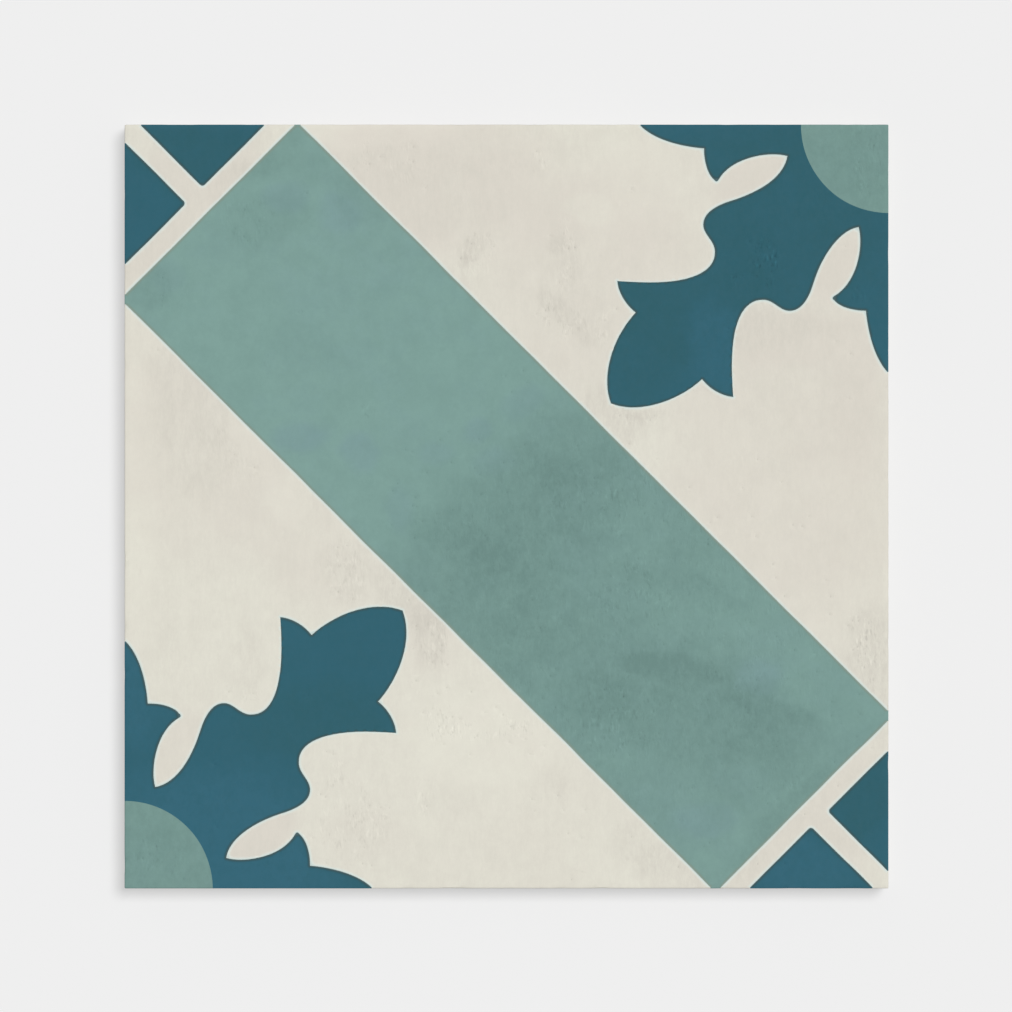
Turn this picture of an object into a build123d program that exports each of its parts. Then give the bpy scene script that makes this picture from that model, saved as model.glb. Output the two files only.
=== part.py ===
from build123d import *
import os

# A square encaustic floor tile, pressed and fired as one piece of clay.
# It lies flat on its back with the decorated face up. The origin is the middle of the back, where the
# tile meets its bed: +Z runs out through the face, and +X and +Y run along two of the sides.
# The coloured clays are inlaid flush with the face, so the pattern makes no shape of its own.

# Driving dimensions, in millimetres and degrees
SIDE = 200.0  # across the face, edge to edge, both ways
THICKNESS = 10.0  # from the bed to the face
EDGE_RADIUS = 0.3  # easing of every outside edge and corner
KEY_DEPTH = 0.6  # how far a recess in the back goes in
KEY_DRAFT = 45.0  # slope of a recess's walls, from upright
KEY_CORNER_RADIUS = 3.0  # of a recess's mouth, seen from behind
KEY_RIM = 9.0  # plain border of the back, outside the recesses
KEY_RIB = 4.0  # between one recess and the next
KEYS_PER_SIDE = 6  # recesses in a row; an even number puts a rib through the middle

# Worked out from the driving dimensions
KEY_SIDE = (SIDE - 2 * KEY_RIM - (KEYS_PER_SIDE - 1) * KEY_RIB) / KEYS_PER_SIDE
KEY_PITCH = KEY_SIDE + KEY_RIB


def pressed_block():
    """The tile with a plain back: a square block on its bed, with all its edges eased."""
    block = Box(SIDE, SIDE, THICKNESS, align=(Align.CENTER, Align.CENTER, Align.MIN))
    return fillet(block.edges(), EDGE_RADIUS)


def key_recesses():
    """The grid of shallow drafted recesses in the back, which key the tile to its bed."""
    mouth = RectangleRounded(KEY_SIDE, KEY_SIDE, KEY_CORNER_RADIUS)
    recess = extrude(mouth, KEY_DEPTH, taper=KEY_DRAFT)
    return GridLocations(KEY_PITCH, KEY_PITCH, KEYS_PER_SIDE, KEYS_PER_SIDE) * recess


def encaustic_tile():
    """The finished tile, one solid."""
    return pressed_block() - key_recesses()


os.makedirs("parts", exist_ok=True)
export_step(encaustic_tile(), "parts/encaustic_tile.step")
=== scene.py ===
import math
import random
from typing import NamedTuple

import bmesh
import bpy
from mathutils import Matrix, Vector, noise
from mathutils.geometry import delaunay_2d_cdt, interpolate_bezier
from mathutils.kdtree import KDTree


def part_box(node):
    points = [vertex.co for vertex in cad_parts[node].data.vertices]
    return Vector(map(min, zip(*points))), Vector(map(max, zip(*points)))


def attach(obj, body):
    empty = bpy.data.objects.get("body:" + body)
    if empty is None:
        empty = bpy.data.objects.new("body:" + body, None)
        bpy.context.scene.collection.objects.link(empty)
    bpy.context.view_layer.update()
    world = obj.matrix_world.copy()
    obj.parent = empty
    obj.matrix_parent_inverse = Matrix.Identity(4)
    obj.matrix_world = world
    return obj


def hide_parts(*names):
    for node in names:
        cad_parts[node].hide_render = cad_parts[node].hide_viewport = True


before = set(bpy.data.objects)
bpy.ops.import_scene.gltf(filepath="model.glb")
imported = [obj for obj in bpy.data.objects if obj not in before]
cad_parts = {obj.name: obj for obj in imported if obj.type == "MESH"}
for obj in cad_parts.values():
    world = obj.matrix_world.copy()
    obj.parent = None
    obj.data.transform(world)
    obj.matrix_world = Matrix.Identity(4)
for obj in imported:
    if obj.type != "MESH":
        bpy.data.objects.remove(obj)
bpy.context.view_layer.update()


def linear(red, green, blue):
    """A colour for the shaders, from its values of 0 to 255 on a screen."""
    shares = [value / 255 for value in (red, green, blue)]
    return [s / 12.92 if s <= 0.04045 else ((s + 0.055) / 1.055) ** 2.4 for s in shares] + [1.0]


# The slab, in millimetres; its outside sizes come from the frame
MM = 0.001  # metres
TILE = "encaustic_tile"
lowest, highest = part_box(TILE)
SIDE = (highest.x - lowest.x) / MM
THICKNESS = (highest.z - lowest.z) / MM
EDGE_RADIUS = 0.3  # easing of every outside edge and corner
HALF = SIDE / 2
FACE_HALF = HALF - EDGE_RADIUS  # half the flat of the face or back, inside the eased edges

# The keyed back, in millimetres
KEY_DEPTH = 0.6
KEY_DRAFT = math.radians(45)
KEY_CORNER_RADIUS = 3.0
KEY_RIM = 9.0
KEY_RIB = 4.0
KEYS_PER_SIDE = 6
KEY_SIDE = (SIDE - 2 * KEY_RIM - (KEYS_PER_SIDE - 1) * KEY_RIB) / KEYS_PER_SIDE
KEY_PITCH = KEY_SIDE + KEY_RIB
KEY_FIRST = -(KEYS_PER_SIDE - 1) / 2 * KEY_PITCH  # middle of the first recess in a row

# The band and the blocks beyond its ends, in millimetres. Corners are given along the falling diagonal,
# down to the right, and across it, up to the right.
BAND_CORNERS = ((110.15, 32.75), (-109.75, 32.45), (-109.75, -33.05), (110.15, -32.7))
BAND_CORNER_RADIUS = 1.2
BLOCK_CORNERS = ((-115.35, -3.2), (-115.35, 2.85), (115.6, -2.8), (115.8, 3.05))  # nearest to the middle
BLOCK_CORNER_RADIUS = 0.9
BLOCK_REACH = 60.0  # far enough to run off the tile

# The rosettes at the upper right corner (1) and the lower left one (-1), in millimetres
ROSETTE_CORNERS = (1, -1)
ROSETTE_SHIFT = {1: Vector((0.15, -0.24)), -1: Vector((0.03, -0.07))}  # from the tile's corner
DISC_RADIUS = 23.0
OVERRUN = 3.0  # how far a shape is drawn past the tile's edge, where the edge cuts it

# Half a rosette, from the tile's edge to the tip of its leaf. Each point gives the distances in from
# the two edges that meet at the rosette's corner; each row is two handles of a curve and its end.
ROSETTE_START = (65.0, 0.0)
ROSETTE_HALF = (
    ((62.0, 3.3), (55.5, 5.5), (48.5, 6.1)),  # petal along the tile's edge
    ((48.6, 9.2), (47.6, 12.9), (45.8, 14.3)),  # end of the petal, to the cusp
    ((45.4, 14.9), (45.0, 14.9), (44.6, 14.2)),  # round the cusp
    ((41.2, 8.4), (31.5, 6.6), (26.65, 8.0)),  # one side of the bud, to its tip
    ((27.6, 13.6), (34.6, 17.7), (41.3, 19.8)),  # the other side of the bud
    ((44.6, 20.8), (48.6, 22.6), (48.6, 26.0)),  # shoulder
    ((48.6, 28.6), (45.6, 30.2), (45.6, 33.0)),  # waist
    ((45.4, 38.8), (53.0, 42.2), (71.1, 40.8)),  # near side of the barb, to its tip
    ((70.9, 43.6), (69.2, 46.9), (66.4, 49.0)),  # far side of the barb, to the notch
    ((72.4, 55.6), (75.6, 65.6), (72.8, 72.8)),  # leaf, to its tip
)

# Hand-made unevenness, in millimetres
NOISE_SEED = 7
WOBBLE = 0.16  # of the pattern's edges
WOBBLE_LENGTH = 13.0
WAVE_DEPTH = 0.05  # of the face
WAVE_LENGTH = 34.0
LEVEL_RIM = 4.0  # strip inside the face's edges over which its waves die out
INLAY_DEPTH = 3.2  # of the coloured clays, seen on the sides
INLAY_SAG = 0.5  # of the line along their foot
INLAY_SAG_LENGTH = 9.0
INLAY_SINK = 0.03  # of the coloured clays below the cream one
WEAR_DEPTH = 0.16  # along the face's edges
WEAR_REACH = 2 * EDGE_RADIUS  # down the sides
WEAR_DROP = 0.5  # of a worn edge, as a share of how far it is worn back
WEAR_LENGTH = 6.0
WEAR_START = 0.15  # level of the noise above which an edge is worn
RIM_NOISE_FALLOFF = 1.0  # of the finer swells in the noise along the rim
RIM_NOISE_STEP = 2.0  # how much finer each of its octaves is
RIM_NOISE_OCTAVES = 3
WALL_ROUGHNESS = 0.06  # of the sides
WALL_GRAIN = 1.7

# Pits in the face, in millimetres; most lie in the clays' rough patches
PITS_PER_AREA = 0.02  # in a rough patch of full strength
LONE_PITS = 40
PIT_SEED = 7
PIT_RADIUS = (0.12, 0.3)
PIT_STRETCH = 1.6  # taller than wide, as the press dragged them
PIT_DEPTH_PER_RADIUS = 0.45
PIT_GAP = 0.3  # between one pit and the next
PIT_MARGIN = 2.0  # kept clear along the face's edges

# Mesh density, in millimetres
FACE_SPACING = 1.05
BACK_SPACING = 3.0
WALL_SPACING = 1.1
CURVE_STEPS = 18
CORNER_STEPS = 5
ARRIS_STEPS = 4
PIT_SIDES = 7
CLEARANCE = 0.55  # of filling points from lines, as a share of the spacing
TOUCHING = 1e-3
MERGING = 1e-5  # points closer than this become one
TRIANGLES_INSIDE = 1  # what is asked of the triangulation
SHARP_ANGLE = math.radians(35)

# Textures of the clays. Sizes are in millimetres. Levels are those of a noise, between which a value
# goes from its lowest to its highest.
NOISE_MIDDLE = 0.5
CLOUD_SIZE = 26.0
CLOUD_NOISE = {"detail": 6.0, "roughness": 0.75}
CLOUD_LEVELS = (0.3, 0.75)
CLOUD_TINT = (-0.1, 0.35)  # added to the tints
PATCH_SIZE = 9.0
PATCH_NOISE = {"detail": 5.0, "roughness": 0.8}
PATCH_LEVELS = (0.3, 0.7)
PATCH_STAIN = (-0.08, 0.12)  # added to the stains
STROKE_NOISE = {"detail": 4.0, "roughness": 0.85}
STROKE_LEVELS = (0.3, 0.7)
SPOT_WARP_SIZE = 12.0
SPOT_WARP_OCTAVES = 4
SPOT_WARP_SHARE = 0.16  # how ragged a spot's outline is, as a share of its width
SPOT_WARP_MOST = 4.0
SPOT_CORE = 0.5  # share of a spot that is at full strength
ROUGH_SIZE = 19.0
ROUGH_NOISE = {"detail": 2.0}
ROUGH_LEVELS = (0.5, 0.65)
ROUGH_ANYWHERE = (0.0, 0.15)  # added to the rough spots
CLUSTER_SIZE = 3.5
CLUSTER_NOISE = {"detail": 2.0}
CLUSTER_LEVELS = (0.38, 0.6)
MARK_WIDTH = 0.75
MARK_LENGTH = 1.9
MARK_NOISE = {"detail": 1.0}
MARK_HEIGHT = 0.04
# light and shade of the marks painted into the colour: raised marks lighter, sunk ones darker, besides
# their real bump
MARK_PAINTED_SHADING = 0.07
RAISED_LEVELS = (0.55, 0.7)
SUNK_LEVELS = (0.45, 0.3)
PLAIN_STAIN = 0.33  # in the plain clay; less of it makes the clay paler
GRAIN_SIZE = 0.8
GRAIN_STRETCH = 0.6
GRAIN_NOISE = {"roughness": 0.6}
GRAIN_LEVELS = (0.2, 0.8)
GRAIN_SHADE = 0.05
# painted shade in the pits: the middle of each pit darker in the colour
PIT_PAINTED_SHADE = 0.18
RIM_WIDTH = 1.0  # along the seams with the cream clay
BLEED_WIDTH = 0.5
MATT = (0.65, 0.8)  # roughness of the surface
SPECULAR = 0.15


class Look(NamedTuple):
    """How a clay looks. A spot is x, y, length and width in mm, turn in degrees, and strength."""

    name: str
    base: list  # colour as fired
    tint: list  # colour the base drifts to
    stain: list
    rim: list  # colour beside another clay, where one of the two is cream
    bleed: list  # colour at the very edge of that rim, where the two clays mix
    brush: tuple  # width and length of the strokes in its stains, and how far they vary them
    # raised marks get both a bump and a painted highlight; sunk ones a bump and painted shade
    raised: float  # strength of its raised marks beside that of its sunk ones
    tints: tuple  # spots
    stains: tuple  # spots
    rough: tuple  # spots


SPOT_LISTS = ("tints", "stains", "rough")
CREAM_LOOK = Look(
    name="cream_clay",
    base=linear(222, 219.5, 207),
    tint=linear(217.5, 212.5, 201.5),
    stain=linear(208, 204, 193),
    rim=linear(220, 229, 223),
    bleed=linear(199, 213, 209),
    brush=(1.8, 6.0, 0.5),
    raised=0.9,
    tints=(
        (-18, 86, 96, 52, -8, 0.8),
        (22, 56, 66, 74, -45, 0.6),
        (42, 80, 60, 48, 0, 0.2),
        (78, 18, 90, 140, 0, 0.6),
        (76, 43, 46, 20, 0, 0.5),
        (91, 30, 14, 56, 0, 0.35),
        (-28, 86, 28, 24, 0, 0.3),
        (-3, 84, 16, 24, 0, 0.35),
        (-80, 18, 60, 80, 20, 0.5),
        (-45, -12, 52, 40, 0, 0.4),
        (-20, -34, 24, 32, 0, 0.5),
        (-38, -86, 32, 22, 0, 0.3),
        (-82, 82, 80, 40, 45, 0.8),
        (84, -84, 80, 40, 45, 0.6),
        (66, 87, 30, 16, 25, 0.9),
        (87, 66, 16, 30, -25, 0.65),
        (-66, -87, 30, 16, 25, 0.9),
        (-87, -64, 16, 30, -25, 0.6),
        (-61, 96, 14, 10, 45, -0.8),
        (22, 78, 18, 10, 0, -0.4),
    ),
    stains=(
        (-9.5, 67, 13, 7, 50, 0.6),
        (-11, 60, 10, 12, 0, 0.15),
        (13.5, 68.5, 9, 8, 0, 0.4),
        (17, 62, 7, 11, 0, 0.3),
        (14, 60, 14, 36, -10, 0.12),
        (12, 54, 10, 7, -40, 0.35),
        (18, 48, 20, 9, -50, 0.25),
        (20, 50, 26, 18, -45, 0.12),
        (-24, 84, 60, 28, -20, 0.2),
        (-4, 90, 30, 14, 0, 0.12),
        (12, -74, 18, 13, 0, 0.14),
        (33, -88, 20, 18, 0, 0.2),
        (-68, -42, 12, 24, 0, 0.18),
        (-88, -38, 8, 24, 0, 0.14),
        (72, 46, 34, 12, 0, 0.12),
        (80, 30, 50, 60, 0, 0.1),
        (98, -42, 30, 44, 0, 0.45),
        (-83, 24, 28, 60, 10, 0.3),
        (-42, -17, 18, 20, 0, 0.25),
        (-20, -35, 14, 22, 0, 0.5),
        (-38, -84, 26, 22, 0, 0.1),
        (-82, 82, 80, 40, 45, 0.12),
        (84, -84, 80, 40, 45, 0.1),
        (-66, -87, 30, 16, 25, 0.12),
        (28, 24, 26, 14, -45, 0.4),
        (37, 24, 18, 4, 5, 0.35),
        (-72, 85, 18, 9, 45, 0.3),
        (-25, -25, 30, 16, -45, 0.45),
        (60, 50, 50, 24, 0, 0.22),
        (50, -93, 44, 20, 0, 0.3),
        (-6, -61, 56, 36, 0, -0.2),
        (84, 9, 20, 14, 0, -0.12),
        (-58.5, 1, 22, 9, -58, -0.2),
        (-34, 99, 56, 14, 0, -0.35),
        (34, 84, 40, 30, 0, -0.15),
        (-98, 0, 18, 110, 0, -0.18),
    ),
    rough=(
        (-8, 66, 14, 16, 0, 1.0),
        (15, 66, 9, 24, 0, 0.9),
        (15, 49, 18, 12, -45, 1.0),
        (25, 47, 6, 12, 0, 0.8),
        (9, 90, 7, 7, 0, 0.9),
        (-30, 91, 26, 14, -20, 0.5),
        (-42, -17, 15, 18, 0, 1.0),
        (-19, -36, 12, 18, 0, 1.2),
        (-17, -57, 12, 14, 0, 1.0),
        (-4, -58, 34, 7, 0, 0.75),
        (-40, -83, 24, 26, 0, 1.0),
        (-45, -70, 7, 16, 0, 0.8),
        (-22, -78, 6, 9, 0, 0.8),
        (-67, -50, 6, 5, 0, 1.2),
        (94, -36, 9, 24, 10, 2.0),
        (35, 23, 22, 4, 0, 0.8),
        (-74, 16, 30, 10, -50, 0.4),
    ),
)
SAGE_LOOK = Look(
    name="sage_clay",
    base=linear(124.5, 158, 151),
    tint=linear(121, 152, 153),
    stain=linear(106, 137, 131.5),
    rim=linear(125, 141, 129),
    bleed=linear(139, 155, 144),
    brush=(2.4, 3.5, 0.17),
    raised=1.0,
    tints=(
        (-54, 18, 20, 11, 0, 0.6),
        (-38, 13.5, 12, 15, 0, 0.6),
        (-18, 14, 12, 9, 0, 0.35),
        (-8, 20, 10, 8, 20, 0.45),
        (-3, 12, 16, 10, 0, 0.35),
        (4, 27, 18, 10, 30, 0.45),
        (-58, 81, 16, 12, 0, 0.5),
        (-44, 77, 16, 13, 0, 0.4),
        (-28, -1, 10, 18, 0, 0.35),
        (-89, 60, 12, 12, 0, 0.3),
        (66, -45, 16, 13, 0, 0.5),
        (52, -82, 22, 12, 0, 0.5),
    ),
    stains=(
        (32, -38, 168, 160, -45, 0.42),
        (-8, -26, 70, 44, -45, 0.18),
        (20, 17, 50, 26, 0, 0.22),
        (4, -4, 68, 40, 14, 0.26),
        (18, 11, 36, 13, 10, 0.06),
        (18, -31, 56, 22, -8, 0.1),
        (18, -13, 24, 9, 0, -0.1),
        (36, -4, 18, 26, 0, -0.12),
        (42, -19, 46, 7, -8, 0.14),
        (46, -29, 50, 14, -8, -0.1),
        (73, -38, 42, 32, -45, -0.24),
        (58, -18, 18, 10, -45, -0.2),
        (43, -42, 38, 9, -6, 0.26),
        (57, -47, 18, 6, -40, 0.1),
        (69, -53, 30, 7, -14, 0.18),
        (46, -53, 84, 34, -14, 0.2),
        (66, -63, 36, 18, -20, 0.1),
        (24, -50, 26, 16, 0, 0.12),
        (40, -73, 34, 26, -45, -0.08),
        (54, -84, 28, 24, 0, -0.12),
        (79, -78, 70, 16, 45, 0.25),
        (-62, 94, 30, 14, 45, 0.25),
        (-64, 76, 34, 18, 10, 0.22),
        (-52, 88, 34, 12, -10, 0.15),
        (-38, 80, 20, 13, -45, 0.18),
        (-30, 66, 13, 6, 20, 0.14),
        (-95, 57, 16, 18, 0, 0.3),
        (-53, 42, 30, 16, 0, 0.06),
        (100, 100, 90, 90, 0, 0.5),
        (-100, -100, 90, 90, 0, 0.5),
    ),
    rough=(
        (32, -30, 150, 110, -45, 0.6),
        (20, 0, 32, 16, 0, 0.5),
        (33, 4, 18, 12, 0, 0.5),
        (33, -23, 26, 20, 0, 0.6),
        (27, -56, 24, 28, -30, 0.9),
        (-15, -4, 28, 12, 0, 0.4),
        (75, -37, 16, 9, 0, 0.4),
        (75, -72, 10, 12, 0, 0.6),
        (-68, 76, 20, 16, 0, 0.7),
        (-88, 55, 16, 12, 0, 0.6),
        (-36, 25, 6, 5, 0, 0.8),
        (-63, 38, 5, 5, 0, 0.6),
        (95, 90, 12, 26, 0, 0.9),
        (-92, -93, 18, 16, 0, 0.8),
    ),
)
TEAL_LOOK = Look(
    name="teal_clay",
    base=linear(44.5, 94, 108.5),
    tint=linear(43.5, 91, 102),
    stain=linear(49, 99, 116),
    rim=linear(50, 71, 70),
    bleed=linear(75, 98, 101),
    brush=(2.4, 3.0, 0.3),
    raised=1.0,
    tints=(
        (66, 75, 110, 80, 20, 0.7),
        (36, 42, 30, 44, 0, 0.7),
        (-51, -55, 58, 26, 5, 0.6),
        (93, -74, 20, 36, 0, 0.8),
        (-80, 92, 50, 26, 0, 0.7),
    ),
    stains=(
        (-80, -94, 90, 64, 0, 0.9),
        (-97, -48, 24, 36, 0, 0.6),
        (55, 42, 20, 30, 0, 0.45),
        (77, -95, 40, 22, 0, 0.6),
    ),
    rough=(
        (68, 64, 9, 14, 0, 3.2),
        (92, 56, 10, 5, 0, 1.0),
        (61, 59, 6, 5, 0, 1.0),
    ),
)
LOOKS = (CREAM_LOOK, SAGE_LOOK, TEAL_LOOK)
CREAM, SAGE, TEAL = range(len(LOOKS))  # the mesh's material slots

# Studio: a pale floor, one soft light from the upper right and an even fill
BACKDROP = linear(239, 239, 239)
FLOOR_BOUNCE = linear(150, 150, 150)  # the floor as it lights the tile's sides
FLOOR_SIZE = 8.0  # metres
SHADOW_SHARE = 0.41  # how much of the floor's shading shows
KEY_SHARE = 0.75  # of the light on the face; the fill gives the rest
KEY_BEARING = math.radians(42)
KEY_LEAN = math.radians(20.5)
KEY_SPREAD = math.radians(23)
LENS = 200.0
SENSOR = 36.0
FRAME_WIDTH = 0.2649  # metres across the picture, at the face
OFF_CENTRE = 0.00013  # metres


def spaced(start, end, spacing):
    """Points from start to end, evenly spaced, without the end."""
    count = max(1, round((end - start).length / spacing))
    return [start.lerp(end, i / count) for i in range(count)]


def closed_run(corners, spacing):
    """A closed outline through corners, with points along its straight runs."""
    points = []
    for start, end in zip(corners, corners[1:] + corners[:1]):
        points += spaced(start, end, spacing)
    return points


def box_corners(low, high):
    """The corners of a box, anticlockwise from its upper right one."""
    return ((high[0], high[1]), (low[0], high[1]), (low[0], low[1]), (high[0], low[1]))


def rounded(corners, radius):
    """Points round a box's corners, each rounded; corners come as box_corners gives them."""
    points = []
    for quarter, corner in enumerate(corners):
        middle = math.pi / 2 * (quarter + 0.5)
        centre = Vector(corner) - radius * math.sqrt(2) * Vector((math.cos(middle), math.sin(middle)))
        for step in range(CORNER_STEPS + 1):
            angle = math.pi / 2 * (quarter + step / CORNER_STEPS)
            points.append(centre + radius * Vector((math.cos(angle), math.sin(angle))))
    return points


def diagonal_box(corners, radius):
    """A rounded box on the face, from corners given along and across the falling diagonal."""
    turned = [Vector((p.x + p.y, p.y - p.x)) * math.sqrt(0.5) for p in rounded(corners, radius)]
    return closed_run(turned, FACE_SPACING)


def corner_block(along, across):
    """A block beyond an end of the band, which the tile's edge cuts to a triangle."""
    far_along = along + math.copysign(BLOCK_REACH, along)
    far_across = math.copysign(BLOCK_REACH, across)
    low = (min(along, far_along), min(across, far_across))
    high = (max(along, far_along), max(across, far_across))
    return diagonal_box(box_corners(low, high), BLOCK_CORNER_RADIUS)


def rosette_centre(corner):
    return Vector((HALF, HALF)) * corner + ROSETTE_SHIFT[corner]


def rosette(corner):
    """The quarter rosette at a corner."""
    knot = Vector(ROSETTE_START)
    off_edge = knot - Vector(ROSETTE_HALF[0][0])
    half = [knot + off_edge.normalized() * OVERRUN]
    for row in ROSETTE_HALF:
        handle_out, handle_in, end = (Vector(p) for p in row)
        half += interpolate_bezier(knot, handle_out, handle_in, end, CURVE_STEPS + 1)[:-1]
        knot = end
    other_half = [p.yx for p in reversed(half)]
    outline = half + [knot] + other_half + [Vector((-OVERRUN, -OVERRUN))]
    return [rosette_centre(corner) - p * corner for p in outline]


def rosette_disc(corner):
    """The disc at the heart of the rosette at a corner."""
    count = round(2 * math.pi * DISC_RADIUS / FACE_SPACING)
    turns = [2 * math.pi * i / count for i in range(count)]
    centre = rosette_centre(corner)
    return [centre + DISC_RADIUS * Vector((math.cos(t), math.sin(t))) for t in turns]


def hand_laid(outline):
    """An outline moved a little here and there, as hand-filled clay is, and running anticlockwise."""
    moved = []
    for point in outline:
        drift = noise.noise_vector(point.to_3d() / WOBBLE_LENGTH)
        moved.append(point + WOBBLE * drift.xy)
    area = sum(a.cross(b) for a, b in zip(moved, moved[1:] + moved[:1]))
    return moved if area > 0 else moved[::-1]


def pattern_outlines():
    """(clay, the clay round it, outline) of every inlaid shape; a later one lies over an earlier one."""
    shapes = [(SAGE, CREAM, diagonal_box(BAND_CORNERS, BAND_CORNER_RADIUS))]
    shapes += [(TEAL, CREAM, corner_block(*corner)) for corner in BLOCK_CORNERS]
    shapes += [(TEAL, CREAM, rosette(corner)) for corner in ROSETTE_CORNERS]
    shapes += [(SAGE, TEAL, rosette_disc(corner)) for corner in ROSETTE_CORNERS]
    return [(clay, ground, hand_laid(outline)) for clay, ground, outline in shapes]


def tree_of(points):
    tree = KDTree(len(points))
    for index, point in enumerate(points):
        tree.insert(point.to_3d(), index)
    tree.balance()
    return tree


def pit_places(draw):
    """Places for pits: gathered in the rough patches, and a few alone."""
    places = []
    for x, y, length, width, turn, strength in (spot for look in LOOKS for spot in look.rough):
        for _ in range(round(strength * length * width * PITS_PER_AREA)):
            angle = draw.uniform(0, 2 * math.pi)
            reach = math.sqrt(draw.uniform(0, 1)) / 2
            place = reach * Vector((length * math.cos(angle), width * math.sin(angle)))
            places.append(Vector((x, y)) + Matrix.Rotation(math.radians(turn), 2) @ place)
    edge = FACE_HALF - PIT_MARGIN
    for _ in range(LONE_PITS):
        places.append(Vector((draw.uniform(-edge, edge), draw.uniform(-edge, edge))))
    return places


def face_pits(lines):
    """(place, radius) of the pits, clear of each other and of the lines."""
    draw = random.Random(PIT_SEED)
    line_tree = tree_of(lines)
    pits = []
    for place in pit_places(draw):
        radius = draw.uniform(*PIT_RADIUS)
        inside = max(abs(place.x), abs(place.y)) < FACE_HALF - PIT_MARGIN
        free = line_tree.find(place.to_3d())[2] > radius + FACE_SPACING
        apart = all((place - other).length > radius + size + PIT_GAP for other, size in pits)
        if inside and free and apart:
            pits.append((place, radius))
    return pits


def pit_ring(place, radius):
    """The lip of a pit."""
    turns = [2 * math.pi * i / PIT_SIDES for i in range(PIT_SIDES)]
    return [place + radius * Vector((math.cos(t), PIT_STRETCH * math.sin(t))) for t in turns]


def filling(spacing, lines):
    """A lattice of points over the face or back, clear of the points of the lines."""
    tree = tree_of(lines)
    rise = spacing * math.sqrt(0.75)
    rows = int(2 * FACE_HALF / rise)
    columns = int(2 * FACE_HALF / spacing)
    clear = spacing * CLEARANCE
    points = []
    for row in range(rows + 1):
        for column in range(columns + 1):
            x = (column + row % 2 / 2) * spacing - FACE_HALF
            y = row * rise - FACE_HALF
            inside = max(abs(x), abs(y)) < FACE_HALF - clear
            if inside and tree.find((x, y, 0))[2] > clear:
                points.append(Vector((x, y)))
    return points


def triangulated(boundary, outlines, loose):
    """The area inside boundary, cut into triangles along the outlines.

    Returns the points, the triangles, the outlines that hold each triangle, and the point made from
    each point of the boundary.
    """
    points = []
    areas = []
    for outline in [boundary] + outlines:
        areas.append(list(range(len(points), len(points) + len(outline))))
        points += outline
    made = delaunay_2d_cdt(points + loose, [], areas, TRIANGLES_INSIDE, MERGING)
    made_points, _, faces, point_sources, _, face_owners = made
    kept = [(corners, owners) for corners, owners in zip(faces, face_owners) if 0 in owners]
    triangles = [corners for corners, _ in kept]
    holders = [[owner - 1 for owner in owners if owner > 0] for _, owners in kept]
    boundary_point = {}
    for index, sources in enumerate(point_sources):
        boundary_point.update((s, index) for s in sources if s < len(boundary))
    return made_points, triangles, holders, boundary_point


def boundary_loop(triangles, start):
    """The outside edges, anticlockwise from start, as (first point, triangle behind the edge)."""
    owner = {}
    for index, (a, b, c) in enumerate(triangles):
        owner.update({(a, b): index, (b, c): index, (c, a): index})
    follow = {a: (b, index) for (a, b), index in owner.items() if (b, a) not in owner}
    loop = []
    point = start
    while not loop or point != start:
        following, index = follow[point]
        loop.append((point, index))
        point = following
    return loop


def recess_height(x, y):
    """How far the back stands above the bed at a place, inside a recess or not."""
    flat = KEY_SIDE / 2 - KEY_CORNER_RADIUS
    past = []
    for value in (x, y):
        cell = min(max(round((value - KEY_FIRST) / KEY_PITCH), 0), KEYS_PER_SIDE - 1)
        past.append(abs(value - KEY_FIRST - cell * KEY_PITCH) - flat)
    outward = math.hypot(max(past[0], 0), max(past[1], 0)) + min(max(past), 0)
    inside = KEY_CORNER_RADIUS - outward
    return min(max(inside / math.tan(KEY_DRAFT), 0), KEY_DEPTH)


def recess_outlines():
    """The mouth and the floor of every recess in the back."""
    inset = KEY_DEPTH * math.tan(KEY_DRAFT)
    outlines = []
    for row in range(KEYS_PER_SIDE):
        for column in range(KEYS_PER_SIDE):
            centre = Vector((KEY_FIRST + column * KEY_PITCH, KEY_FIRST + row * KEY_PITCH))
            for shrink in (0, inset):
                reach = Vector((1, 1)) * (KEY_SIDE / 2 - shrink)
                corners = rounded(box_corners(centre - reach, centre + reach), KEY_CORNER_RADIUS - shrink)
                outlines.append(closed_run(corners, BACK_SPACING))
    return outlines


def edge_rings():
    """(outset, height) of the rings from the flat of the face down to the flat of the back."""
    turns = [math.pi / 2 * (i + 1) / ARRIS_STEPS for i in range(ARRIS_STEPS)]
    upper = [(math.sin(t), THICKNESS - EDGE_RADIUS * (1 - math.cos(t))) for t in turns]
    lower = [(math.cos(t), EDGE_RADIUS * (1 - math.sin(t))) for t in turns]
    inlay_foot = THICKNESS - INLAY_DEPTH
    wall = []
    for top, foot in ((THICKNESS - EDGE_RADIUS, inlay_foot), (inlay_foot, EDGE_RADIUS)):
        count = round((top - foot) / WALL_SPACING)
        wall += [(1.0, top + (foot - top) * (i + 1) / count) for i in range(count)]
    return [(outset * EDGE_RADIUS, height) for outset, height in upper + wall + lower]


class Station(NamedTuple):
    """A place on the rim of the face, where a column of vertices goes down to the back."""

    point: int  # the face's point there
    place: Vector
    outward: Vector
    triangle: int  # the face's triangle behind the next piece of rim

    def on_side(self):
        return self.place + self.outward * EDGE_RADIUS


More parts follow.
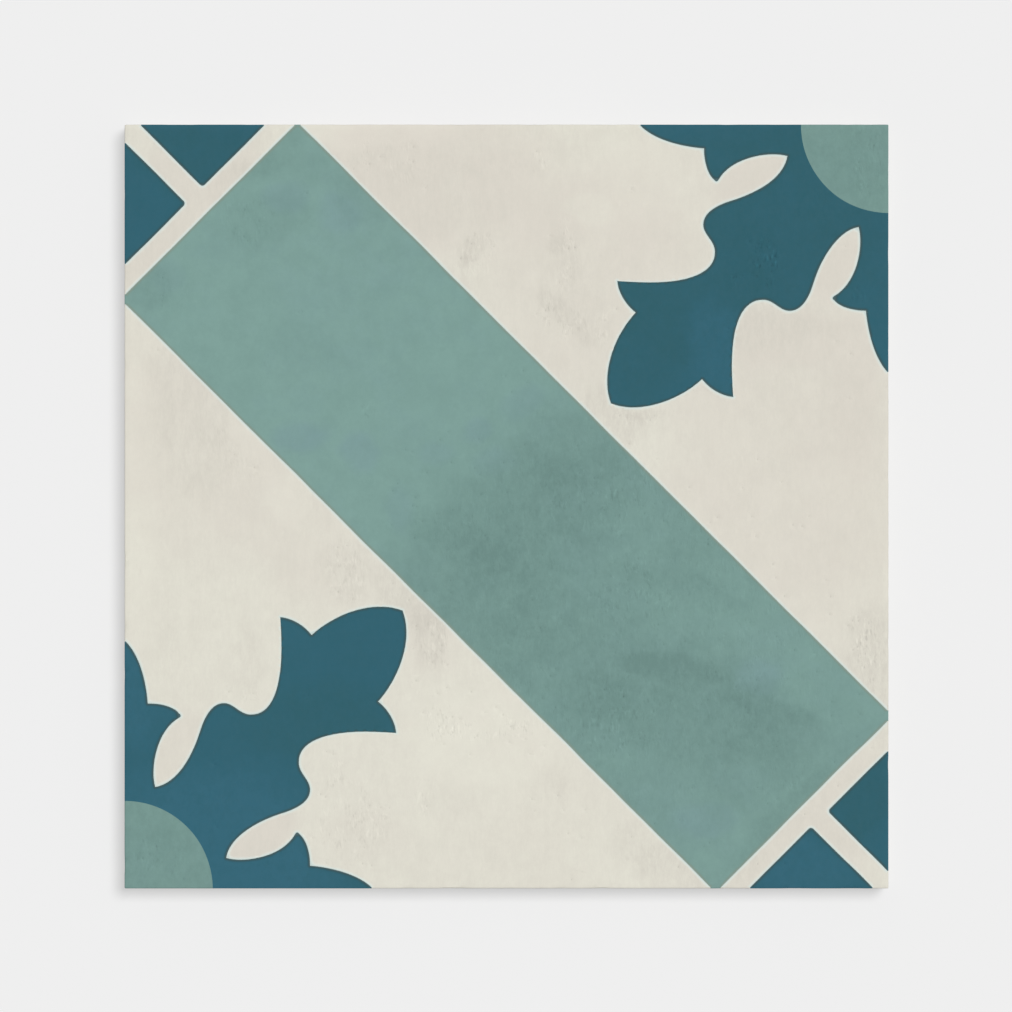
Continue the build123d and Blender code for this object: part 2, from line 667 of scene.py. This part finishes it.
def rim_stations(points, loop):
    """The stations of the four sides. Each side starts with a fan of them round its first corner."""
    sides = []
    for point, triangle in loop:
        place = points[point]
        corner = Vector((math.copysign(1, place.x), math.copysign(1, place.y)))
        if (place - corner * FACE_HALF).length < TOUCHING:
            start = math.atan2(corner.y, corner.x) - math.pi / 4
            turns = [start + math.pi / 2 * i / ARRIS_STEPS for i in range(ARRIS_STEPS + 1)]
            fan = [Vector((math.cos(t), math.sin(t))) for t in turns]
            sides.append([Station(point, place, outward, triangle) for outward in fan])
        else:
            across = abs(place.x) > abs(place.y)
            outward = Vector((corner.x, 0)) if across else Vector((0, corner.y))
            sides[-1].append(Station(point, place, outward, triangle))
    return sides


def rim_noise(place, length):
    """Noise along the rim, with swells about length long and finer ones in them."""
    scaled = place.to_3d() / length
    return noise.fractal(scaled, RIM_NOISE_FALLOFF, RIM_NOISE_STEP, RIM_NOISE_OCTAVES)


def swell(place, length):
    """Noise from 0 to 1, with swells about length long."""
    return noise.noise(place / length) * 0.5 + 0.5


def edge_wear(place):
    """How much of the arris is rubbed away at a place on the rim."""
    rub = rim_noise(place, WEAR_LENGTH)
    return WEAR_DEPTH * min(max(rub - WEAR_START, 0), 1)


def face_height(place, inlaid, seam):
    """The face's height at a place, with its slow waves and the sunk clays."""
    wave = swell(Vector((place.x, place.y, WAVE_LENGTH)), WAVE_LENGTH)
    from_edge = min((FACE_HALF - max(abs(place.x), abs(place.y))) / LEVEL_RIM, 1)
    sink = INLAY_SINK * min(seam / FACE_SPACING, 1) if inlaid else 0
    return THICKNESS - (WAVE_DEPTH * wave + sink) * from_edge


def eased(share):
    """A share from 0 to 1, with soft ends."""
    share = min(max(share, 0), 1)
    return share * share * (3 - 2 * share)


def spot_depth(place, push, spots):
    """How deep a place lies in spots: soft ellipses, with outlines made ragged by the push, added up."""
    total = 0.0
    for x, y, length, width, turn, strength in spots:
        warp = min(SPOT_WARP_SHARE * min(length, width), SPOT_WARP_MOST)
        off = Matrix.Rotation(-math.radians(turn), 2) @ (place + push * warp - Vector((x, y)))
        reach = 2 * math.hypot(off.x / length, off.y / width)
        total += strength * eased((1 - reach) / (1 - SPOT_CORE))
    return total


class TileMesh:
    """Gathers the tile's one closed mesh: its points, faces, clays, their spots and the bake map."""

    MAP_FACE = 0.77  # share of the bake map's width that the face takes
    MAP_BACK = 0.2
    MAP_STRIP = 0.052  # from one side's strip of the map to the next
    MAP_GAP = 0.008
    FAR = 9.0  # seam distance of every point off the face

    def __init__(self):
        self.mesh = bmesh.new()
        self.map = self.mesh.loops.layers.uv.new("OFBake")
        # 1 in the middle of each pit, where the clays' colour gets painted shade
        self.pit = self.mesh.verts.layers.float.new("pit")
        self.seam = self.mesh.verts.layers.float.new("seam")
        self.spots = [self.mesh.loops.layers.float.new(name) for name in SPOT_LISTS]
        self.depths = {}  # of each vertex in each clay's spots

    def vertex(self, x, y, z, pit=0.0, seam=FAR):
        vertex = self.mesh.verts.new((x * MM, y * MM, z * MM))
        vertex[self.pit] = pit
        vertex[self.seam] = seam
        return vertex

    def face(self, corners, clay, places):
        """A face over corners, with each corner's place on the bake map."""
        kept = []
        for corner, place in zip(corners, places):
            if corner not in [c for c, _ in kept]:
                kept.append((corner, place))
        face = self.mesh.faces.new([corner for corner, _ in kept])
        face.material_index = clay
        face.smooth = True
        for loop, (corner, place) in zip(face.loops, kept):
            loop[self.map].uv = place
            for layer, depth in zip(self.spots, self.spot_depths(corner, clay)):
                loop[layer] = depth

    def spot_depths(self, vertex, clay):
        """How deep a vertex lies in each list of a clay's spots."""
        if (vertex, clay) not in self.depths:
            place = vertex.co.xy / MM
            push = noise.turbulence_vector(place.to_3d() / SPOT_WARP_SIZE, SPOT_WARP_OCTAVES, False).xy
            lists = [getattr(LOOKS[clay], name) for name in SPOT_LISTS]
            self.depths[vertex, clay] = [spot_depth(place, push, spots) for spots in lists]
        return self.depths[vertex, clay]

    def face_place(self, point):
        scale = self.MAP_FACE / (2 * FACE_HALF)
        return (point + Vector((FACE_HALF, FACE_HALF))) * scale + Vector((1, 1)) * self.MAP_GAP

    def back_place(self, point):
        scale = self.MAP_BACK / (2 * FACE_HALF)
        start = Vector((self.MAP_FACE + 2 * self.MAP_GAP, self.MAP_GAP))
        return (point + Vector((FACE_HALF, FACE_HALF))) * scale + start

    def side_place(self, side, along, down):
        scale = self.MAP_FACE / SIDE
        strip = self.MAP_FACE + 2 * self.MAP_GAP + side * self.MAP_STRIP
        return Vector((along * scale + self.MAP_GAP, strip + down * scale))


def face_vertices(tile, points, triangles, clays, cream_edges, pits):
    """Adds a vertex for every point of the face. Returns them by the point's number."""
    clays_at = {}
    for corners, clay in zip(triangles, clays):
        for corner in corners:
            clays_at.setdefault(corner, set()).add(clay)
    edge_tree = tree_of(cream_edges)
    pit_tree = tree_of([place for place, _ in pits])
    vertices = {}
    for index in sorted(clays_at):
        place = points[index]
        on_cream = CREAM in clays_at[index]
        on_seam = on_cream and len(clays_at[index]) > 1
        seam = 0.0 if on_seam else edge_tree.find(place.to_3d())[2]
        height = face_height(place, not on_cream, seam)
        _, pit, distance = pit_tree.find(place.to_3d())
        in_pit = 1.0 if distance < TOUCHING else 0.0
        height -= in_pit * pits[pit][1] * PIT_DEPTH_PER_RADIUS
        vertices[index] = tile.vertex(place.x, place.y, height, in_pit, seam)
    return vertices


def decorated_face(tile):
    """Adds the patterned face. Returns its points, vertices, boundary loop and triangles' clays."""
    shapes = pattern_outlines()
    outlines = [outline for _, _, outline in shapes]
    square = [Vector(corner) * FACE_HALF for corner in ((-1, -1), (1, -1), (1, 1), (-1, 1))]
    boundary = closed_run(square, FACE_SPACING)
    lines = [p for outline in outlines + [boundary] for p in outline]
    pits = face_pits(lines)
    pit_points = [place for place, _ in pits]
    for place, radius in pits:
        pit_points += pit_ring(place, radius)
    loose = pit_points + filling(FACE_SPACING, lines + pit_points)
    points, triangles, holders, boundary_point = triangulated(boundary, outlines, loose)
    clays = [shapes[max(held)][0] if held else CREAM for held in holders]

    cream_lines = [outline for _, ground, outline in shapes if ground == CREAM]
    cream_edges = [p for outline in cream_lines for p in outline if max(abs(p.x), abs(p.y)) < HALF]
    vertices = face_vertices(tile, points, triangles, clays, cream_edges, pits)
    for corners, clay in zip(triangles, clays):
        tile.face([vertices[c] for c in corners], clay, [tile.face_place(points[c]) for c in corners])
    return points, vertices, boundary_loop(triangles, boundary_point[0]), clays


def keyed_back(tile, boundary):
    """Adds the back, with its recesses. Returns the vertex made at each point of the boundary."""
    outlines = recess_outlines()
    lines = [p for outline in outlines for p in outline]
    loose = filling(BACK_SPACING, lines + boundary)
    points, triangles, _, boundary_point = triangulated(boundary, outlines, loose)
    used = {point for corners in triangles for point in corners}
    vertices = {i: tile.vertex(points[i].x, points[i].y, recess_height(*points[i])) for i in sorted(used)}
    for corners in triangles:
        facing_down = corners[::-1]
        places = [tile.back_place(points[c]) for c in facing_down]
        tile.face([vertices[c] for c in facing_down], CREAM, places)
    return {index: vertices[point] for index, point in boundary_point.items()}


def side_column(tile, station, rings):
    """Adds the vertices between the face and the back at one station of the rim."""
    wear = edge_wear(station.place)
    sag = INLAY_SAG * rim_noise(station.on_side(), INLAY_SAG_LENGTH)
    made = []
    for outset, height in rings[:-1]:
        at = station.place + station.outward * outset
        near_face = max(0, 1 - (THICKNESS - height) / WEAR_REACH)
        grain = swell(Vector((at.x, at.y, height)), WALL_GRAIN)
        on_wall = outset == EDGE_RADIUS
        at -= station.outward * (wear * near_face + WALL_ROUGHNESS * grain * on_wall)
        from_edges = min(height, THICKNESS - height) - EDGE_RADIUS
        drop = wear * near_face * WEAR_DROP + sag * eased(from_edges)
        made.append(tile.vertex(at.x, at.y, height - drop))
    return made


def ring_depths(rings):
    """How far each ring lies from the flat of the face, measured over the edge and down the side."""
    depths = [0.0]
    for (out_a, z_a), (out_b, z_b) in zip([(0.0, THICKNESS)] + rings, rings):
        depths.append(depths[-1] + math.hypot(out_b - out_a, z_b - z_a))
    return depths


def side_strip(tile, number, stations, columns, rings, clays):
    """Adds the faces of one side, between its columns of vertices."""
    inlay_foot = THICKNESS - INLAY_DEPTH - TOUCHING
    depths = ring_depths(rings)
    start = 0.0
    for here, there, left, right in zip(stations, stations[1:], columns, columns[1:]):
        end = start + (there.on_side() - here.on_side()).length
        for ring, (_, height) in enumerate(rings):
            clay = clays[here.triangle] if height >= inlay_foot else CREAM
            corners = [left[ring], left[ring + 1], right[ring + 1], right[ring]]
            upper, lower = depths[ring], depths[ring + 1]
            spots = ((start, upper), (start, lower), (end, lower), (end, upper))
            tile.face(corners, clay, [tile.side_place(number, *spot) for spot in spots])
        start = end


def eased_sides(tile, points, top_vertices, loop, clays):
    """Adds the sides and eased edges, and closes them with the back."""
    back_vertices = keyed_back(tile, [points[point] for point, _ in loop])
    foot_vertices = {point: back_vertices[index] for index, (point, _) in enumerate(loop)}
    rings = edge_rings()
    sides = rim_stations(points, loop)
    columns = []
    for side in sides:
        columns.append([])
        for station in side:
            between = side_column(tile, station, rings)
            top, foot = top_vertices[station.point], foot_vertices[station.point]
            columns[-1].append([top] + between + [foot])
    for number, side in enumerate(sides):
        following = (number + 1) % len(sides)
        stations = side + sides[following][:1]
        standing = columns[number] + columns[following][:1]
        side_strip(tile, number, stations, standing, rings, clays)


def build_tile():
    """The tile as one closed mesh, with the pattern's lines as edges of its face."""
    noise.seed_set(NOISE_SEED)
    tile = TileMesh()
    eased_sides(tile, *decorated_face(tile))
    data = bpy.data.meshes.new("encaustic_tile_dressed")
    tile.mesh.to_mesh(data)
    tile.mesh.free()
    data.set_sharp_from_angle(angle=SHARP_ANGLE)
    piece = bpy.data.objects.new("encaustic_tile_dressed", data)
    bpy.context.collection.objects.link(piece)
    return piece


class Nodes:
    """Short ways to build the nodes of a material or world."""

    def __init__(self, owner):
        owner.use_nodes = True
        self.tree = owner.node_tree
        self.tree.nodes.clear()

    def feed(self, socket, value):
        if isinstance(value, bpy.types.NodeSocket):
            self.tree.links.new(value, socket)
        else:
            socket.default_value = value

    def node(self, kind, inputs=None, **settings):
        node = self.tree.nodes.new(kind)
        for name, value in settings.items():
            setattr(node, name, value)
        for socket, value in (inputs or {}).items():
            self.feed(node.inputs[socket], value)
        return node

    def math(self, operation, first, second, clamp=False):
        inputs = {0: first, 1: second}
        return self.node("ShaderNodeMath", inputs, operation=operation, use_clamp=clamp).outputs["Value"]

    def scaled(self, vector, factor):
        inputs = {0: vector, "Scale": factor}
        return self.node("ShaderNodeVectorMath", inputs, operation="SCALE").outputs["Vector"]

    def between(self, value, start, end, low=0.0, high=1.0):
        """Value's way from start to end, eased, as a number from low to high."""
        inputs = {"Value": value, "From Min": start, "From Max": end, "To Min": low, "To Max": high}
        return self.node("ShaderNodeMapRange", inputs, interpolation_type="SMOOTHSTEP").outputs["Result"]

    def mixed(self, share, first, second, blend="MIX"):
        node = self.node("ShaderNodeMix", data_type="RGBA", blend_type=blend)
        sockets = {socket.identifier: socket for socket in [*node.inputs, *node.outputs]}
        self.feed(sockets["Factor_Float"], share)
        self.feed(sockets["A_Color"], first)
        self.feed(sockets["B_Color"], second)
        return sockets["Result_Color"]

    def seen_directly(self):
        """1 where the camera sees a surface, straight or by reflection; 0 where it only lights others."""
        rays = self.node("ShaderNodeLightPath").outputs
        straight_or_glossy = self.math("MAXIMUM", rays["Is Camera Ray"], rays["Is Glossy Ray"])
        return self.math("MAXIMUM", straight_or_glossy, rays["Is Transmission Ray"])


class Clay(Nodes):
    """A matt fired clay's material, with textures sized in millimetres."""

    def __init__(self, look):
        self.material = bpy.data.materials.new(look.name)
        super().__init__(self.material)
        self.look = look
        in_metres = self.node("ShaderNodeTexCoord").outputs["Object"]
        self.place = self.scaled(in_metres, 1 / MM)
        self.start = (SIDE * LOOKS.index(look), 0.0, 0.0)  # each clay has its own stretch of noise

    def noise(self, size, stretch=(1, 1, 1), detail=3.0, roughness=0.55):
        """Noise whose patches are about size across."""
        inputs = {"Vector": self.place, "Location": self.start, "Scale": stretch}
        place = self.node("ShaderNodeMapping", inputs).outputs["Vector"]
        inputs = {"Vector": place, "Scale": 1 / size, "Detail": detail, "Roughness": roughness}
        return self.node("ShaderNodeTexNoise", inputs).outputs["Fac"]

    def painted(self, name):
        """A value stored in the mesh."""
        return self.node("ShaderNodeAttribute", attribute_name=name).outputs["Fac"]

    def paler(self, colour):
        """The colour that the plain clay's stain turns into the given one."""
        return [value + PLAIN_STAIN * (value - stain) for value, stain in zip(colour, self.look.stain)]

    def clouded(self):
        """The clay's colour, with its tint and stains, and its rim and bleed beside another clay."""
        look = self.look
        clouds = self.between(self.noise(CLOUD_SIZE, **CLOUD_NOISE), *CLOUD_LEVELS, *CLOUD_TINT)
        tinted = self.math("ADD", self.painted("tints"), clouds, clamp=True)
        colour = self.mixed(tinted, self.paler(look.base), self.paler(look.tint))
        width, length, depth = look.brush
        strokes = self.noise(width, (1, width / length, 1), **STROKE_NOISE)
        brushed = self.between(strokes, *STROKE_LEVELS, 1 - depth, 1 + depth)
        patches = self.between(self.noise(PATCH_SIZE, **PATCH_NOISE), *PATCH_LEVELS, *PATCH_STAIN)
        stained = self.math("MULTIPLY", self.math("ADD", self.painted("stains"), PLAIN_STAIN), brushed)
        stained = self.math("DIVIDE", stained, 1 + PLAIN_STAIN)
        colour = self.mixed(self.math("ADD", stained, patches, clamp=True), colour, look.stain)
        seam = self.painted("seam")
        colour = self.mixed(self.between(seam, RIM_WIDTH, 0.0), colour, look.rim)
        return self.mixed(self.between(seam, BLEED_WIDTH, 0.0), colour, look.bleed)

    def marks(self):
        """Fine raised and sunk marks, above and below 0, and how strong they are at a place."""
        field = self.noise(MARK_WIDTH, (1, MARK_WIDTH / MARK_LENGTH, 1), **MARK_NOISE)
        raised = self.between(field, *RAISED_LEVELS, high=self.look.raised)
        sunk = self.between(field, *SUNK_LEVELS)
        relief = self.math("SUBTRACT", raised, sunk)
        loose = self.between(self.noise(ROUGH_SIZE, **ROUGH_NOISE), *ROUGH_LEVELS, *ROUGH_ANYWHERE)
        rough = self.math("ADD", self.painted("rough"), loose)
        clusters = self.between(self.noise(CLUSTER_SIZE, **CLUSTER_NOISE), *CLUSTER_LEVELS)
        return relief, self.math("MULTIPLY", rough, clusters)

    def shade(self, grain, marks):
        """What the colour is multiplied by: the grain's own tone, painted light and shade on the marks,
        painted shade in the pits.
        """
        grain_share = self.math("MULTIPLY", self.math("SUBTRACT", grain, NOISE_MIDDLE), GRAIN_SHADE)
        # painted highlight on the raised marks and painted shade in the sunk ones
        mark_painted_shading = self.math("MULTIPLY", marks, MARK_PAINTED_SHADING)
        # painted shade in the middle of each pit
        pit_painted_shade = self.math("MULTIPLY", self.painted("pit"), PIT_PAINTED_SHADE)
        shade = self.math("ADD", 1.0, grain_share)
        shade = self.math("ADD", shade, mark_painted_shading)
        return self.math("SUBTRACT", shade, pit_painted_shade)

    def finish(self):
        """Builds the surface and returns the material."""
        grain = self.noise(GRAIN_SIZE, (1, GRAIN_STRETCH, 1), **GRAIN_NOISE)
        relief, rough = self.marks()
        # the grain's tone times the painted light and shade of the marks and pits; the marks also get a
        # real bump below
        shade = self.shade(grain, self.math("MULTIPLY", relief, rough))
        strength = self.math("MINIMUM", rough, 1.0)
        inputs = {"Height": relief, "Strength": strength, "Distance": MARK_HEIGHT * MM}
        bump = self.node("ShaderNodeBump", inputs)
        inputs = {
            "Base Color": self.mixed(1.0, self.clouded(), shade, "MULTIPLY"),
            "Roughness": self.between(grain, *GRAIN_LEVELS, *MATT),
            "Specular IOR Level": SPECULAR,
            "Normal": bump.outputs["Normal"],
        }
        surface = self.node("ShaderNodeBsdfPrincipled", inputs)
        self.node("ShaderNodeOutputMaterial", {"Surface": surface.outputs["BSDF"]})
        return self.material


def dress(piece):
    """Gives the tile its clays, and its place in the frame."""
    for look in LOOKS:
        piece.data.materials.append(Clay(look).finish())
    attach(piece, "root")
    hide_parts(TILE)


def pale_floor():
    """A wide floor of the backdrop's colour, which takes a light shadow."""
    bpy.ops.mesh.primitive_plane_add(size=FLOOR_SIZE, location=(0, 0, lowest.z))
    floor = bpy.context.object
    floor.name = "pale_floor"
    material = bpy.data.materials.new("pale_floor")
    nodes = Nodes(material)
    seen = nodes.seen_directly()
    paint = nodes.node("ShaderNodeBsdfDiffuse", {"Color": nodes.mixed(seen, FLOOR_BOUNCE, BACKDROP)})
    glow = nodes.node("ShaderNodeEmission", {"Color": BACKDROP})
    glow_share = nodes.math("MULTIPLY", seen, 1 - SHADOW_SHARE)
    inputs = {"Fac": glow_share, 1: paint.outputs["BSDF"], 2: glow.outputs["Emission"]}
    blend = nodes.node("ShaderNodeMixShader", inputs)
    nodes.node("ShaderNodeOutputMaterial", {"Surface": blend.outputs["Shader"]})
    floor.data.materials.append(material)


def even_fill():
    """The world: an even white fill, seen directly as the backdrop."""
    world = bpy.data.worlds.new("studio")
    nodes = Nodes(world)
    fill = nodes.node("ShaderNodeBackground", {"Color": (1, 1, 1, 1), "Strength": 1 - KEY_SHARE})
    backdrop = nodes.node("ShaderNodeBackground", {"Color": BACKDROP})
    seen = nodes.seen_directly()
    inputs = {"Fac": seen, 1: fill.outputs["Background"], 2: backdrop.outputs["Background"]}
    blend = nodes.node("ShaderNodeMixShader", inputs)
    nodes.node("ShaderNodeOutputWorld", {"Surface": blend.outputs["Shader"]})
    bpy.context.scene.world = world


def soft_key():
    """The main light, leaning in from the upper right."""
    light = bpy.data.lights.new("soft_key", "SUN")
    light.energy = math.pi * KEY_SHARE / math.cos(KEY_LEAN)
    light.angle = KEY_SPREAD
    key = bpy.data.objects.new("soft_key", light)
    towards = Vector((math.cos(KEY_BEARING), math.sin(KEY_BEARING), 0)) * math.sin(KEY_LEAN)
    towards.z = math.cos(KEY_LEAN)
    key.rotation_euler = towards.to_track_quat("Z", "Y").to_euler()
    bpy.context.collection.objects.link(key)


def plan_camera():
    """A long lens, straight above the face."""
    lens = bpy.data.cameras.new("plan_camera")
    lens.lens = LENS
    lens.sensor_width = SENSOR
    camera = bpy.data.objects.new("plan_camera", lens)
    camera.location = (-OFF_CENTRE, OFF_CENTRE, highest.z + FRAME_WIDTH * LENS / SENSOR)
    bpy.context.collection.objects.link(camera)
    bpy.context.scene.camera = camera


dress(build_tile())
pale_floor()
even_fill()
soft_key()
plan_camera()
bpy.context.scene.view_settings.view_transform = "Standard"
